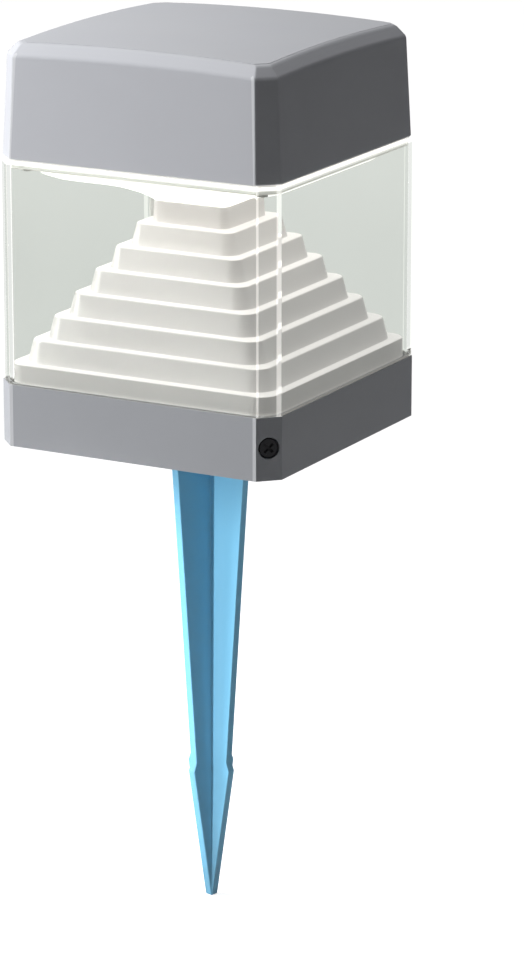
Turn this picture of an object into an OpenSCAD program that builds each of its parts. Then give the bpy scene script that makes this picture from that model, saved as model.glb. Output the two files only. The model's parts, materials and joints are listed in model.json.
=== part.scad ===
// Garden light on a ground stake: a square head with a clear lens round a white stepped
// reflector, a grey cap that holds a flat twist-in lamp, and a four-ribbed blue stake.
// The origin is where the stake's axis meets the ground, at the head's lower edge. +Z is up,
// the front face looks along -Y, and the corner with the visible lock screw is at +X -Y.

/* [Head] */
// Width of the base ring across its flats
body_w = 160; // [145:1:200]
// Height of the base ring
base_h = 32; // [30:1:45]
// Height of the lens between base ring and cap
lens_h = 115; // [100:1:150]
// Height of the cap at its corners, bevel included
cap_h = 57; // [54:1:75]
// Leg of the flat cut on each upright corner
corner_cut = 9.4; // [8:0.1:11]
// How much each side of the cap leans in over its height
cap_lean = 2.4; // [0:0.1:5]
// How far the bevel round the top is set in
bevel_in = 5.3; // [3:0.1:7]
// How high the bevel round the top rises
bevel_rise = 6; // [3:0.5:9]
// Height of the arch along each top edge
crown = 2; // [0.5:0.1:4]
// How far the lens stands in from the base ring's face
lens_step = 0.4; // [0.1:0.1:1]
// How far the cap's lower edge stands in from the base ring's face
cap_step = 1.2; // [0.8:0.1:2]

/* [Walls] */
// Wall of the base ring
base_wall = 3; // [2:0.2:4]
// Wall of the lens
lens_wall = 2.6; // [2:0.1:3.6]
// Wall of the cap
cap_wall = 3; // [2.6:0.1:4]
// Wall of the stepped reflector
reflector_wall = 2; // [1.5:0.1:2.5]
// Wall of the upper diffuser
diffuser_wall = 1.6; // [1.2:0.1:2.5]

/* [Optics] */
// Number of ledges on the reflector
steps = 7; // [5:1:9]
// Height of the first ledge above the base ring
first_rise = 9.6; // [6:0.2:14]
// Half the width of the neck where reflector and diffuser meet
neck_half = 21.5; // [18:0.5:25]
// Half the width of the topmost ledge
top_half = 28; // [26:0.5:34]
// How much each riser leans out towards its foot
riser_lean = 3; // [1:0.2:4]
// How much the last riser leans, up to the neck
neck_lean = 0.6; // [0.4:0.1:2]
// Corner radius of the lowest ledge
ledge_round = 9.5; // [8:0.5:20]
// Corner radius at the neck
neck_round = 4.5; // [3.5:0.5:12]
// The same two radii in the far corner, where the wire duct passes
far_ledge_round = 20; // [17:1:26]
far_neck_round = 9; // [6:1:14]
// Depth of the neck below the lens's top
diffuser_h = 26; // [22:1:34]

/* [Lamp] */
// Diameter of the flat twist-in lamp
lamp_d = 75; // [70:1:80]
// Height of the lamp without its pins
lamp_h = 24; // [20:1:26]
// Distance between the lamp's two pins
pin_pitch = 53; // [50:1:56]
// Angle that the lamp turns to lock
twist = 20; // [12:1:30]
// Height of the lampholder
holder_h = 14; // [12:1:16]

/* [Base plate] */
// Thickness of the base plate
plate_t = 3; // [2.5:0.5:4]
// Thickness of the flat gasket between base plate and base ring
gasket_t = 1.5; // [1:0.5:2]
// Distance between the fixing holes, both ways
fix_pitch = 90; // [80:1:94]
// Diameter of a fixing hole
fix_d = 5.5; // [4.5:0.5:6.5]
// Diameter of the supply cable that the gland takes
cable_d = 8; // [6:0.5:9]

/* [Lock screws] */
// Height of the lock screws above the ground
lock_z = 16.5; // [15:0.5:18]
// Diameter of the lock screw's thread
lock_d = 5; // [4:0.5:6]
// Diameter of the recess that takes the lock screw's head
recess_d = 11; // [9:0.5:12]

/* [Stake] */
// Length of the stake below the ground
stake_l = 255; // [180:5:320]
// Length of the stake's pointed end, up to its barbs
point_l = 72; // [50:2:90]
// Width across opposite ribs just under the flange
rib_top_w = 54; // [44:1:60]
// Width across opposite ribs just above the barbs
rib_low_w = 26; // [20:1:32]
// How far each barb stands out from its rib
barb = 1.8; // [0.8:0.2:4]
// Thickness of a rib
rib_t = 4.4; // [3:0.2:6]
// Diameter of the stake's flange
flange_d = 60; // [54:1:64]
// Turn of the stake's ribs from the head's faces
rib_turn = -15; // [-45:1:45]
// Diameter of the bolt that joins stake and base plate
bolt_d = 8; // [6:1:10]

/* [Hidden] */

// Finishes
GREY = "#a8abb2";
BLUE = "#6fb9dc";
WHITE = "#f2f1ec";
CLEAR = [0.86, 0.9, 0.88, 0.35];
OPAL = [1, 0.99, 0.94, 0.7];
BLACK = "#1b1c1f";
STEEL = "#b9bcc0";
BRASS = "#c9a24a";
RUBBER = "#2b2b2d";
SILICONE = "#dfe1df";

// Clearances
EPS = 0.01; // overlap of cutting shapes
running = 0.08; // round pieces that turn or slide in each other
seat_gap = 0.3; // pieces of different bodies that stand side by side
ROUND = 64; // facets of round shapes on screen

// Heights, from the ground up
plate_z = 1; // underside of the base plate, inside the ring's lower edge
gasket_z = plate_z + plate_t;
foot_z = gasket_z + gasket_t; // the ring's lower shelf rests here
lower_shelf_t = 2;
upper_shelf_t = 3;
lens_z = base_h;
cap_z = lens_z + lens_h;
bevel_z = cap_z + cap_h - bevel_rise; // lower edge of the bevel, at the corners
crest_z = cap_z + cap_h; // upper edge of the bevel, at the corners
ceiling_z = crest_z - cap_wall;
neck_z = cap_z - diffuser_h;

// Half widths
base_a = body_w / 2;
lens_a = base_a - lens_step;
cap_a = base_a - cap_step;
cap_top_a = cap_a - cap_lean;
crest_a = cap_top_a - bevel_in;
ring_in = base_a - base_wall;
lens_in = lens_a - lens_wall;
shelf_w = 11; // reach of the upper shelf inwards from the ring's wall
lower_shelf_w = 4;
reflector_a = lens_in - 1.8; // lowest ledge
foot_w = reflector_a - (ring_in - shelf_w) + 1; // reach of the reflector's foot inwards

// An upright corner's flat lies this far from the axis, measured on the diagonal
CUT = 2 - sqrt(2); // share by which a corner cut shrinks when its outline is set in
corner_s = (2 * base_a - corner_cut) / sqrt(2);

// Lens flanges and diffuser rim
lens_foot_h = 2.5;
lens_top_t = 2.5;
rim_t = 2.5;
rim_z = cap_z - lens_top_t - rim_t;
rim_hole_a = lens_in - 7;
rim_hole_round = 24;
seal_w = 1.2;
seal_h = 1;

// Stepped reflector
step_z = (neck_z - lens_z - first_rise) / steps;
step_in = (reflector_a - top_half) / (steps - 1);
function ledge_z(k) = lens_z + first_rise + (k - 1) * step_z;
function ledge_a(k) = k > steps ? neck_half : reflector_a - (k - 1) * step_in;
function lean_at(k) = k == steps ? neck_lean : riser_lean;
function share_at(a) = (a - neck_half) / (reflector_a - neck_half);
function round_at(a) = neck_round + (ledge_round - neck_round) * share_at(a);
function far_at(a) = far_neck_round + (far_ledge_round - far_neck_round) * share_at(a);

// Cap screws stand on the diagonal, clear of the wire duct behind them
cap_screw_r = 1.9;
cap_screw_head_r = 3;
cap_screw_s = corner_s - 12.5;
boss_r = 4.5;

// Reflector's foot
foot_lean = 0.8;
foot_a = reflector_a + foot_lean;
foot_more = foot_lean * sqrt(2) / (sqrt(2) - 1);
foot_round = ledge_round + foot_more;
foot_far = far_ledge_round + foot_more;
foot_t = 2;
foot_screw_x = 70.5 / 77 * ring_in;
foot_screw_y = 40;
neck_screw_r = 2;

// Wire duct in the far corner
duct_t = 3;
duct_w = 9;
duct_wall = 0.6;
wire_r = 0.75;
wire_gap = 2; // from the duct's middle to each wire
wire_rise = 3.5; // from the lens's top to the wires' first bend in the cap
reflector_corner_s = reflector_a * sqrt(2) - far_ledge_round * (sqrt(2) - 1);
duct_s = reflector_corner_s + 0.4 + duct_t / 2;
duct_z = lens_z - upper_shelf_t;
duct_top_z = cap_z - 0.3;

// Lock screws on the near and far corners
recess_deep = 3.2;
lock_head_h = 2.6;
lock_seat_s = corner_s - recess_deep;
lock_boss_s = corner_s - 12; // inner face of the boss
post_s = lock_boss_s - 2; // outer face of the base plate's post
post_deep = 8;
post_w = 14;
boss_h = 16;

// Lamp and lampholder, from the strap down
strap_t = 1.5;
strap_w = 22;
strap_half = ring_in - 14;
strap_screw_x = strap_half - 6;
strap_z = ceiling_z - 15;
holder_z = strap_z - holder_h;
holder_r = lamp_d / 2;
hub_r = 17.5;
hub_h = 10;
lamp_top_z = holder_z - seat_gap;
lamp_z = lamp_top_z - lamp_h;
lamp_pin_r = 1.6;
lamp_pin_head_r = 2.6;
slot_lip = 3.5;
slot_room = 4.5;
holder_screw_x = 27;
lamp_cover_h = 3.5;
board_t = 1.6;

// Terminal block and lead plug
block_y = 40;
block = [36, 14, 10];
plug = [22, 10, 9];
plug_pin_r = 1.5;
plug_pin_x = 6;
block_top_z = plate_z + plate_t + block[2];

// Cable gland
gland_x = -38;
gland_y = 28;
gland_r = 9.8;
gland_hex_r = 14;
gland_flange_h = 5;
gland_thread_h = 9;
seal_r = gland_r - 2;
gland_drop = 20; // how far the gland hangs below the base plate
seal_z = plate_z - gland_drop + 4.5;

// Stake
flange_t = 4;
collar_r = 13;
collar_h = 22;
bolt_head_r = bolt_d * 0.92;
bolt_head_h = 5.3;
washer_t = 1.6;
nut_h = 6.5;
pocket_z = plate_z - collar_h + 4; // underside of the bolt's head

// ---------- outlines ----------

// Square with its corners cut flat: half width a, cut c
function cut_square(a, c) = [
    [a - c, -a], [a, -a + c], [a, a - c], [a - c, a],
    [-a + c, a], [-a, a - c], [-a, -a + c], [-a + c, -a]
];

// Corner cut of an outline set in from the base ring's face by the same amount all round
function cut_at(a) = max(0.4, corner_cut - CUT * (base_a - a));

module outline(a) {
    polygon(cut_square(a, cut_at(a)));
}

module frame(outer, inner, z, h) {
    translate([0, 0, z])
        difference() {
            linear_extrude(h) outline(outer);
            translate([0, 0, -EPS]) linear_extrude(h + 2 * EPS) outline(inner);
        }
}

// Square with round corners, as one ring of points; far is the radius in the duct's corner
function round_ring(a, r, z, n = 6, far = undef) = [
    for (q = [0:3], i = [0:n])
        let (turn = q * 90 + i * 90 / n,
             c = q == 1 && far != undef ? far : r,
             cx = (a - c) * (q == 0 || q == 3 ? 1 : -1),
             cy = (a - c) * (q < 2 ? 1 : -1))
        [cx + c * cos(turn), cy + c * sin(turn), z]
];

module round_square(a, r) {
    polygon([for (p = round_ring(a, r, 0, 8)) [p[0], p[1]]]);
}

// Closed solid through a list of rings, its first and last ring capped
module through(rings) {
    n = len(rings[0]);
    m = len(rings);
    polyhedron(
        points = [for (ring = rings) each ring],
        faces = concat(
            [[for (i = [0:n - 1]) i]],
            [for (j = [0:m - 2], i = [0:n - 1])
                [j * n + i, (j + 1) * n + i, (j + 1) * n + (i + 1) % n]],
            [for (j = [0:m - 2], i = [0:n - 1])
                [j * n + i, (j + 1) * n + (i + 1) % n, j * n + (i + 1) % n]],
            [[for (i = [n - 1:-1:0]) (m - 1) * n + i]]
        ),
        convexity = 8
    );
}

// Places a shape on a diagonal: dir 1 is the near corner (+X -Y), dir -1 the far one.
// Inside, +X points outwards along the diagonal.
module on_diagonal(dir) {
    rotate([0, 0, dir > 0 ? -45 : 135]) children();
}

// Places a shape at each of the four corners, +X outwards
module at_corners() {
    for (q = [0:3]) rotate([0, 0, 45 + q * 90]) children();
}

// Point on the far corner's diagonal: s outwards, side across it
function far(s, side, z) = [(-s - side) / sqrt(2), (s - side) / sqrt(2), z];

module at_sides() {
    for (q = [0:3]) rotate([0, 0, q * 90]) children();
}

module rod(r, z, h) {
    translate([0, 0, z]) cylinder(r = r, h = h, $fn = ROUND);
}

module hex(r, z, h) {
    translate([0, 0, z]) cylinder(r = r, h = h, $fn = 6);
}

// Closed solid from a list of rings whose last ring meets its first
module loop(rings) {
    n = len(rings[0]);
    m = len(rings);
    polyhedron(
        points = [for (ring = rings) each ring],
        faces = concat(
            [for (j = [0:m - 1], i = [0:n - 1])
                [j * n + i, (j + 1) % m * n + i, (j + 1) % m * n + (i + 1) % n]],
            [for (j = [0:m - 1], i = [0:n - 1])
                [j * n + i, (j + 1) % m * n + (i + 1) % n, j * n + (i + 1) % n]]
        ),
        convexity = 8
    );
}

function backwards(list) = [for (i = [len(list) - 1:-1:0]) list[i]];

// Pan-head screw pointing up: head under z, shank above it
module screw_up(r, head_r, head_h, z, h) {
    difference() {
        union() {
            rod(head_r, z - head_h, head_h);
            rod(r, z - EPS, h + EPS);
        }
        translate([0, 0, z - head_h + 0.6])
            for (turn = [0, 90]) rotate([0, 0, turn])
                cube([head_r * 1.1, head_r * 0.28, 1.3], center = true);
    }
}

// ---------- stake ----------

// Half outline of a rib, from the flange down to the point
function rib_edge() = [
    [rib_top_w / 2, plate_z - flange_t + EPS],
    [rib_low_w / 2, -(stake_l - point_l) + barb * 2.5],
    [rib_low_w / 2 + barb, -(stake_l - point_l)],
    [rib_t / 2, -stake_l]
];

module rib() {
    edge = rib_edge();
    mirrored = [for (i = [len(edge) - 1:-1:0]) [-edge[i][0], edge[i][1]]];
    rotate([90, 0, 0])
        translate([0, 0, -rib_t / 2])
            linear_extrude(rib_t) polygon(concat(edge, mirrored));
}

module ground_spike() {
    color(BLUE)
        difference() {
            rotate([0, 0, rib_turn]) union() {
                rod(flange_d / 2, plate_z - flange_t, flange_t);
                rod(collar_r, plate_z - collar_h, collar_h - flange_t + EPS);
                for (turn = [0, 90]) rotate([0, 0, turn]) rib();
            }
            rod(bolt_d / 2 + running, pocket_z, collar_h + 1);
            hex(bolt_head_r + running, pocket_z - EPS, bolt_head_h + 2 * EPS);
        }
}

module spike_bolt() {
    color(STEEL) {
        hex(bolt_head_r, pocket_z, bolt_head_h);
        rod(bolt_d / 2, pocket_z + bolt_head_h - EPS,
            gasket_z + washer_t + nut_h + 3 - pocket_z - bolt_head_h);
    }
}

module spike_washer() {
    color(STEEL)
        difference() {
            rod(bolt_d * 1.05, gasket_z, washer_t);
            rod(bolt_d / 2 + running, gasket_z - 1, washer_t + 2);
        }
}

module spike_nut() {
    color(STEEL)
        difference() {
            hex(bolt_d * 0.92, gasket_z + washer_t, nut_h);
            rod(bolt_d / 2 + running, gasket_z, washer_t + nut_h + 1);
        }
}

ground_spike();
spike_bolt();
spike_washer();
spike_nut();

// ---------- base plate ----------

module mounting_plate() {
    plate_a = ring_in - 0.5;
    color(GREY)
        difference() {
            union() {
                translate([0, 0, plate_z]) linear_extrude(plate_t) outline(plate_a);
                translate([0, 0, gasket_z - EPS])
                    difference() {
                        linear_extrude(2.5) square(120, center = true);
                        translate([0, 0, -1]) linear_extrude(5) square(116, center = true);
                    }
                for (dir = [-1, 1]) on_diagonal(dir)
                    translate([post_s - post_deep, -post_w / 2, plate_z + EPS])
                        cube([post_deep, post_w, lock_z + 6 - plate_z]);
            }
            rod(bolt_d / 2 + running, plate_z - 1, plate_t + 2);
            for (x = [-1, 1], y = [-1, 1])
                translate([x * fix_pitch / 2, y * fix_pitch / 2, 0])
                    rod(fix_d / 2, plate_z - 1, plate_t + 2);
            translate([gland_x, gland_y, 0]) rod(gland_r + running, plate_z - 1, plate_t + 2);
            for (x = [-1, 1]) translate([x * (block[0] / 2 - 3.5), block_y, 0])
                rod(1.5 + running, plate_z - 1, plate_t + 2);
            for (dir = [-1, 1]) on_diagonal(dir)
                translate([post_s - post_deep - 1, 0, lock_z])
                    rotate([0, 90, 0])
                        cylinder(r = lock_d / 2 + 0.5, h = post_deep + 2, $fn = ROUND);
        }
}

module plate_gasket() {
    color(RUBBER) frame(ring_in - 0.5, ring_in - lower_shelf_w, gasket_z, gasket_t);
}

module gland_body() {
    thread_z = plate_z - gland_flange_h - gland_thread_h;
    color(BLACK)
        translate([gland_x, gland_y, 0])
            difference() {
                union() {
                    hex(gland_hex_r, plate_z - gland_flange_h, gland_flange_h);
                    rod(gland_r, thread_z, gasket_z + 6.5 - thread_z);
                }
                rod(seal_r + running, thread_z - 1, gland_thread_h + 0.5);
                rod(cable_d / 2 + 1, thread_z - 1, 40);
            }
}

module gland_nut() {
    nut_z = plate_z - gland_drop;
    color(BLACK)
        translate([gland_x, gland_y, 0])
            difference() {
                hex(gland_hex_r, nut_z, gland_drop - gland_flange_h - 0.5);
                rod(gland_r + running, seal_z, 20);
                rod(cable_d / 2 + 1, nut_z - 1, 20);
            }
}

module gland_seal() {
    color(RUBBER)
        translate([gland_x, gland_y, 0])
            difference() {
                rod(seal_r, seal_z, gland_thread_h + 0.5);
                rod(cable_d / 2, seal_z - 1, 20);
            }
}

module gland_locknut() {
    color(BLACK)
        translate([gland_x, gland_y, 0])
            difference() {
                hex(gland_hex_r, gasket_z, 5);
                rod(gland_r + running, gasket_z - 1, 7);
            }
}

module terminal_block() {
    color(WHITE)
        translate([0, block_y, 0])
            difference() {
                translate([-block[0] / 2, -block[1] / 2, gasket_z]) cube(block);
                for (x = [-1, 1]) translate([x * plug_pin_x, 0, 0])
                    rod(plug_pin_r + running, gasket_z + 2, block[2]);
                for (x = [-1, 1]) translate([x * (block[0] / 2 - 3.5), 0, 0]) {
                    rod(1.5 + running, gasket_z - 1, block[2] + 2);
                    rod(3, block_top_z - 2.5, 3);
                }
                for (x = [-1, 1]) translate([x * plug_pin_x, -block[1] / 2, gasket_z + 5])
                    rotate([-90, 0, 0]) cylinder(r = 1.3, h = 4, $fn = ROUND);
            }
}

module terminal_screws() {
    color(STEEL)
        for (x = [-1, 1])
            translate([x * (block[0] / 2 - 3.5), block_y, block_top_z - 2.5])
                mirror([0, 0, 1]) screw_up(1.5, 2.8, 2, 0, block[2] - 1);
}

mounting_plate();
plate_gasket();
gland_body();
gland_nut();
gland_seal();
gland_locknut();
terminal_block();
terminal_screws();

// ---------- base ring ----------

arm_w = 18;
arm_t = 3;
arm_z = block_top_z + seat_gap + plug[2];

module duct_slot(z, h) {
    on_diagonal(-1)
        translate([duct_s - duct_t / 2 - 0.2, -duct_w / 2 - 0.2, z])
            cube([duct_t + 0.4, duct_w + 0.4, h]);
}

module foot_screw_places() {
    at_sides() for (y = [-foot_screw_y, foot_screw_y])
        translate([foot_screw_x, y, 0]) children();
}

module base_ring() {
    color(GREY)
        difference() {
            union() {
                frame(base_a, ring_in, 0, base_h);
                frame(ring_in + EPS, ring_in - lower_shelf_w, foot_z, lower_shelf_t);
                frame(ring_in + EPS, ring_in - shelf_w, base_h - upper_shelf_t, upper_shelf_t);
                for (dir = [-1, 1]) on_diagonal(dir)
                    translate([lock_boss_s, -post_w / 2, lock_z - boss_h / 2])
                        cube([corner_s - 1 - lock_boss_s, post_w, boss_h]);
                translate([-arm_w / 2, block_y - plug[1] / 2, arm_z])
                    cube([arm_w, ring_in + 1 - block_y + plug[1] / 2, arm_t]);
            }
            for (dir = [-1, 1]) on_diagonal(dir)
                translate([0, 0, lock_z]) rotate([0, 90, 0]) {
                    translate([0, 0, lock_boss_s - 1])
                        cylinder(r = lock_d / 2 + running, h = 20, $fn = ROUND);
                    translate([0, 0, lock_seat_s])
                        cylinder(d = recess_d, h = 20, $fn = ROUND);
                }
            frame(lens_a - 0.7, lens_a - 0.7 - seal_w, lens_z - seal_h, seal_h + 1);
            foot_screw_places() rod(1.75 + running, base_h - upper_shelf_t - 1, 6);
            duct_slot(base_h - upper_shelf_t - 1, upper_shelf_t + 2);
        }
}

module lens_seal() {
    color(SILICONE) frame(lens_a - 0.7, lens_a - 0.7 - seal_w, lens_z - seal_h, seal_h);
}

module corner_screw(dir) {
    color(STEEL) on_diagonal(dir)
        translate([0, 0, lock_z]) rotate([0, 90, 0]) {
            translate([0, 0, post_s + seat_gap])
                cylinder(d = lock_d, h = lock_seat_s - post_s - seat_gap + EPS, $fn = ROUND);
            difference() {
                translate([0, 0, lock_seat_s])
                    cylinder(d = recess_d - 1.6, h = lock_head_h, $fn = ROUND);
                for (turn = [45, 135])
                    translate([0, 0, lock_seat_s + lock_head_h]) rotate([0, 0, turn])
                        cube([recess_d * 0.55, 1.3, 3], center = true);
            }
        }
}

module corner_screw_front() {
    corner_screw(1);
}

module corner_screw_rear() {
    corner_screw(-1);
}

base_ring();
lens_seal();
corner_screw_front();
corner_screw_rear();

// ---------- lens and cap ----------

module cap_screw_places() {
    at_corners() translate([cap_screw_s, 0, 0]) children();
}

module clear_lens() {
    color(CLEAR)
        difference() {
            union() {
                frame(lens_a, lens_in, lens_z, lens_h);
                translate([0, 0, cap_z - lens_top_t])
                    difference() {
                        linear_extrude(lens_top_t) outline(lens_in + EPS);
                        translate([0, 0, -1])
                            linear_extrude(lens_top_t + 2)
                                round_square(rim_hole_a, rim_hole_round);
                    }
            }
            cap_screw_places() rod(cap_screw_r + 0.2, cap_z - lens_top_t - 1, 6);
            frame(cap_a - 0.9, cap_a - 0.9 - seal_w, cap_z - seal_h, seal_h + 1);
            duct_slot(cap_z - lens_top_t - 1, 5);
        }
}

module cap_seal() {
    color(SILICONE) frame(cap_a - 0.9, cap_a - 0.9 - seal_w, cap_z - seal_h, seal_h);
}

// One ring of the cap: half width a, height z, its sides arched by rise
function cap_ring(a, z, rise, n = 8) =
    let (c = cut_at(a))
    [for (q = [0:3], i = [0:n])
        let (t = (a - c) * (2 * i / n - 1),
             x = [t, a, -t, -a][q],
             y = [-a, t, a, -t][q])
        [x, y, z + rise * (2 - pow(x / a, 2) - pow(y / a, 2))]];

// A ring of the domed top, drawn in towards the middle
function dome_ring(a, z, share) =
    let (rim = cap_ring(a, 0, 0))
    [for (p = rim)
        [p[0] * share, p[1] * share,
         z + crown * (2 - pow(share, 2) * (pow(p[0] / a, 2) + pow(p[1] / a, 2)))]];

function dome(a, z) = [
    dome_ring(a, z, 0.8), dome_ring(a, z, 0.55), dome_ring(a, z, 0.3),
    [for (p = cap_ring(a, 0, 0))
        let (share = 5 / norm([p[0], p[1]])) [p[0] * share, p[1] * share, z + 2 * crown]]
];

module cap_shell() {
    outside = concat(
        [cap_ring(cap_a, cap_z, 0),
         cap_ring(cap_top_a, bevel_z, crown),
         cap_ring(crest_a, crest_z, crown)],
        dome(crest_a, crest_z)
    );
    inside = concat(
        [cap_ring(cap_a - cap_wall, cap_z, 0),
         cap_ring(cap_top_a - cap_wall, bevel_z - 1, crown),
         cap_ring(crest_a - cap_wall + 1, ceiling_z, crown)],
        dome(crest_a - cap_wall + 1, ceiling_z)
    );
    through(concat(backwards(inside), outside));
}

module top_cap() {
    boss_s = cap_screw_s / sqrt(2);
    wall_s = cap_top_a - cap_wall + 0.6;
    color(GREY)
        difference() {
            union() {
                cap_shell();
                cap_screw_places() rod(boss_r, cap_z, ceiling_z - 1 - cap_z);
                for (x = [-1, 1], y = [-1, 1]) {
                    translate([x > 0 ? boss_s : -wall_s, y * boss_s - 0.8, cap_z + 14])
                        cube([wall_s - boss_s, 1.6, ceiling_z - 3 - cap_z - 14]);
                    translate([x * boss_s - 0.8, y > 0 ? boss_s : -wall_s, cap_z + 14])
                        cube([1.6, wall_s - boss_s, ceiling_z - 3 - cap_z - 14]);
                }
                for (x = [-1, 1]) translate([x * strap_screw_x, 0, 0])
                    rod(4, strap_z + strap_t, ceiling_z + crown * 1.6 - strap_z - strap_t);
            }
            cap_screw_places() rod(cap_screw_r + running, cap_z - 1, 17);
            for (x = [-1, 1]) translate([x * strap_screw_x, 0, 0])
                rod(1.75 + running, strap_z - 1, 11);
            // room for the wires where a wide corner cut brings the wall in
            duct_slot(cap_z - 1, wire_rise + 2.5);
        }
}

module cap_screws() {
    color(STEEL) cap_screw_places()
        screw_up(cap_screw_r, cap_screw_head_r, 2.4, rim_z, 20);
}

clear_lens();
cap_seal();
top_cap();
cap_screws();

// ---------- reflector and diffuser ----------

// Rings of the reflector's stepped face, from the foot up, drawn in by t
function step_ring(a, more, z) =
    round_ring(a + more, round_at(a) + more, z, far = far_at(a) + more);
function stepped(t) = concat(
    [round_ring(foot_a - t, foot_round - t, lens_z, far = foot_far - t)],
    [for (k = [1:steps], half = [0, 1])
        half == 0
            ? step_ring(ledge_a(k), -t, ledge_z(k) - t)
            : step_ring(ledge_a(k + 1), lean_at(k) - t, ledge_z(k) - t)],
    [step_ring(neck_half, -t, neck_z - t)]
);

function foot_ring(z) = round_ring(foot_a - foot_w, max(foot_round - foot_w, 0.5) + 1, z,
    far = foot_far - foot_w + 1);

module stepped_reflector() {
    t = reflector_wall;
    hole = neck_screw_r + 0.3;
    inner = concat(
        [round_ring(hole, hole, neck_z - t)],
        [for (i = [2 * steps + 1:-1:1]) stepped(t)[i]],
        [round_ring(foot_a - t, foot_round - t, lens_z + foot_t, far = foot_far - t),
         foot_ring(lens_z + foot_t), foot_ring(lens_z)]
    );
    color(WHITE)
        difference() {
            union() {
                loop(concat(inner, stepped(0), [round_ring(hole, hole, neck_z)]));
                foot_screw_places() rod(3.6, lens_z + 0.5, first_rise - t - 1);
            }
            foot_screw_places() rod(1.75 + running, lens_z - 1, first_rise - t - 0.5);
        }
}

module reflector_screws() {
    color(STEEL) foot_screw_places()
        screw_up(1.75, 3, 2.2, base_h - upper_shelf_t, upper_shelf_t + first_rise - 5);
}

// Rings of the diffuser's funnel, from the neck up, drawn in by t
function funnel(t) =
    let (top_a = rim_hole_a + diffuser_wall, top_r = rim_hole_round + diffuser_wall,
         w = top_a - neck_half, h = rim_z + rim_t - neck_z,
         way = [[0, 0], [0.05, 0.08], [0.23, 0.28], [0.42, 0.42], [0.72, 0.58], [0.95, 0.74], [1, 1]])
    [for (p = way)
        round_ring(neck_half + w * p[0] - t,
            neck_round + (top_r - neck_round) * p[0] - t,
            neck_z + h * p[1] + (p[1] < 1 ? t : 0),
            far = far_neck_round + (top_r - far_neck_round) * p[0] - t)];

module upper_diffuser() {
    t = diffuser_wall;
    color(OPAL)
        difference() {
            union() {
                through(concat(funnel(0), backwards(funnel(t))));
                translate([0, 0, rim_z])
                    difference() {
                        linear_extrude(rim_t) outline(lens_in - 0.4);
                        translate([0, 0, -1])
                            linear_extrude(rim_t + 2)
                                round_square(rim_hole_a + t / 2, rim_hole_round + t / 2);
                    }
                rod(4.5, neck_z + t / 2, 9);
            }
            rod(neck_screw_r + running, neck_z - 1, 9.5);
            cap_screw_places() rod(cap_screw_r + 0.2, rim_z - 1, rim_t + 2);
            duct_slot(rim_z - 1, rim_t + 2);
        }
}

module neck_screw() {
    color(STEEL)
        screw_up(neck_screw_r, 4, 2.4, neck_z - reflector_wall, reflector_wall + 8);
}

stepped_reflector();
reflector_screws();
upper_diffuser();
neck_screw();

// ---------- lamp and lampholder ----------

// Slot along an arc about the axis: middle radius r, half width w, between two angles
module arc_slot(r, w, from, to, z, h) {
    intersection() {
        difference() {
            rod(r + w, z, h);
            rod(r - w, z - 1, h + 2);
        }
        translate([0, 0, z - 1])
            linear_extrude(h + 2)
                polygon([[0, 0], 60 * [cos(from), sin(from)], 60 * [cos(to), sin(to)]]);
    }
    for (turn = [from, to]) rotate([0, 0, turn]) translate([r, 0, 0]) rod(w, z, h);
}

module lamp_strap() {
    color(STEEL)
        difference() {
            translate([-strap_half, -strap_w / 2, strap_z]) cube([2 * strap_half, strap_w, strap_t]);
            for (x = [-1, 1]) {
                translate([x * strap_screw_x, 0, 0]) rod(1.95, strap_z - 1, strap_t + 2);
                translate([x * holder_screw_x, 0, 0]) rod(1.95, strap_z - 1, strap_t + 2);
            }
            rod(6, strap_z - 1, strap_t + 2);
        }
}

module strap_screws() {
    color(STEEL)
        for (x = [-1, 1]) translate([x * strap_screw_x, 0, 0])
            screw_up(1.75, 3.2, 2.2, strap_z, strap_t + 8);
}

module lamp_holder() {
    color(WHITE)
        difference() {
            rod(holder_r, holder_z, holder_h);
            rod(hub_r + running, holder_z - 1, hub_h + 1);
            for (turn = [90, 270]) {
                arc_slot(pin_pitch / 2, lamp_pin_r + 0.4, turn, turn + twist,
                    holder_z - 1, slot_lip + 2);
                arc_slot(pin_pitch / 2, lamp_pin_head_r + 0.5, turn, turn + twist,
                    holder_z + slot_lip, slot_room);
                rotate([0, 0, turn + twist]) translate([pin_pitch / 2, 0, 0])
                    rod(lamp_pin_head_r + 0.5, holder_z - 1, slot_lip + 2);
            }
            for (x = [-1, 1]) translate([x * holder_screw_x, 0, 0]) {
                rod(1.75 + running, holder_z - 1, holder_h + 2);
                rod(3.5, holder_z - 1, 5);
            }
            for (side = [-1, 1])
                translate(far(holder_r - 6, side * 4, holder_z + holder_h - 4))
                    rotate([0, 0, 135]) rotate([0, 90, 0])
                        cylinder(r = wire_r + 0.4, h = 10, $fn = ROUND);
        }
}

module holder_screws() {
    color(STEEL)
        for (x = [-1, 1]) translate([x * holder_screw_x, 0, 0])
            screw_up(1.75, 3.2, 2.4, holder_z + 4, holder_h - 4 + strap_t + 4);
}

module holder_nuts() {
    color(STEEL)
        for (x = [-1, 1]) translate([x * holder_screw_x, 0, 0])
            difference() {
                hex(3.6, strap_z + strap_t, 2.8);
                rod(1.75 + running, strap_z, 6);
            }
}

module lamp_housing() {
    color(WHITE)
        difference() {
            union() {
                rod(lamp_d / 2, lamp_z + 2, lamp_h - 2);
                rod(hub_r, lamp_top_z - EPS, hub_h + EPS);
            }
            rod(lamp_d / 2 - 2, lamp_z + 1, lamp_h / 2 - 1);
            rod(lamp_d / 2 - 5, lamp_z + 1, lamp_h - 3.5);
            rod(hub_r - 2, lamp_z + 1, lamp_h + hub_h - 3);
        }
}

module lamp_cover() {
    color(OPAL) {
        rod(lamp_d / 2 - 0.5, lamp_z, 2);
        difference() {
            rod(lamp_d / 2 - 2 - running, lamp_z + 1, lamp_cover_h - 1);
            rod(lamp_d / 2 - 4, lamp_z + 1.8, lamp_cover_h);
        }
    }
}

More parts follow.
